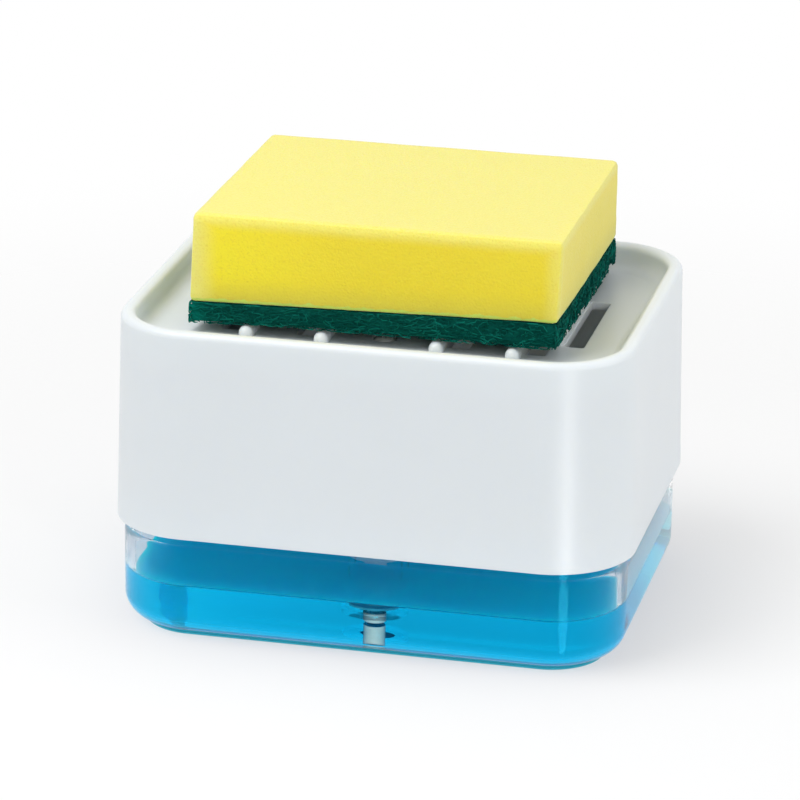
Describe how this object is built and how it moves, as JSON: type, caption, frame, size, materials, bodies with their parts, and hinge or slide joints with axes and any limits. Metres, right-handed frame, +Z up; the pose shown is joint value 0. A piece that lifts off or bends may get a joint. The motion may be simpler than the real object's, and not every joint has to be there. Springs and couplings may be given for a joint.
{
  "type": "soap pump caddy",
  "caption": "Counter-top soap pump caddy: a clear soap reservoir under a white press top with a drained tray that holds a kitchen sponge.",
  "frame": {"origin": "centre of the caddy on the surface that it stands on", "axes": "+Z up, -Y towards the user, +X to the user's right; the pump is on the front half of the middle plane"},
  "size_m": [0.1426, 0.1148, 0.1143],
  "materials": {
    "clear_plastic": "clear polished moulding",
    "white_plastic": "satin gloss moulding",
    "pump_plastic": "natural white moulding",
    "soap": "clear blue liquid",
    "gasket_rubber": "soft moulded rubber",
    "steel": "drawn stainless wire and ground balls",
    "scouring_fibre": "coarse dark green non-woven fibre",
    "yellow_foam": "open-cell foam with fine pores"
  },
  "bodies": {
    "tub": {"reservoir": "clear_plastic", "reservoir_deck": "white_plastic", "liquid_soap": "soap"},
    "pump": {"pump_cylinder": "clear_plastic", "neck_gasket": "gasket_rubber", "ball_cage": "pump_plastic", "dip_tube": "pump_plastic", "stem_guide": "pump_plastic", "return_spring": "steel"},
    "collar": {"pump_collar": "pump_plastic"},
    "inlet_valve": {"inlet_ball": "steel"},
    "plunger": {"stem_tube": "pump_plastic", "piston_rod": "pump_plastic", "piston_seal": "pump_plastic", "outlet_nozzle": "white_plastic"},
    "outlet_valve": {"outlet_ball": "steel"},
    "top": {"press_top": "white_plastic"},
    "sponge": {"scour_pad": "scouring_fibre", "sponge_foam": "yellow_foam"}
  },
  "joints": [
    {"name": "pump_lift", "type": "slide", "parent": "tub", "child": "pump", "axis": [0, 0, 1], "range_m": [0, 0.04]},
    {"name": "collar_turn", "type": "hinge", "parent": "pump", "child": "collar", "pos_m": [0, -0.0256, 0.0488], "axis": [0, 0, 1], "range_deg": [0, 540]},
    {"name": "inlet_ball_lift", "type": "slide", "parent": "pump", "child": "inlet_valve", "axis": [0, 0, 1], "range_m": [0, 0.0008]},
    {"name": "press", "type": "slide", "parent": "pump", "child": "plunger", "axis": [0, 0, -1], "range_m": [0, 0.008], "stiffness_N_per_m": 500, "springref_m": -0.012, "deforming": ["return_spring"]},
    {"name": "outlet_ball_lift", "type": "slide", "parent": "plunger", "child": "outlet_valve", "axis": [0, 0, 1], "range_m": [0, 0.0008]},
    {"name": "top_lift", "type": "slide", "parent": "plunger", "child": "top", "axis": [0, 0, 1], "range_m": [0, 0.055]},
    {"name": "sponge_lift", "type": "slide", "parent": "top", "child": "sponge", "axis": [0, 0, 1], "range_m": [0, 0.03]}
  ]
}
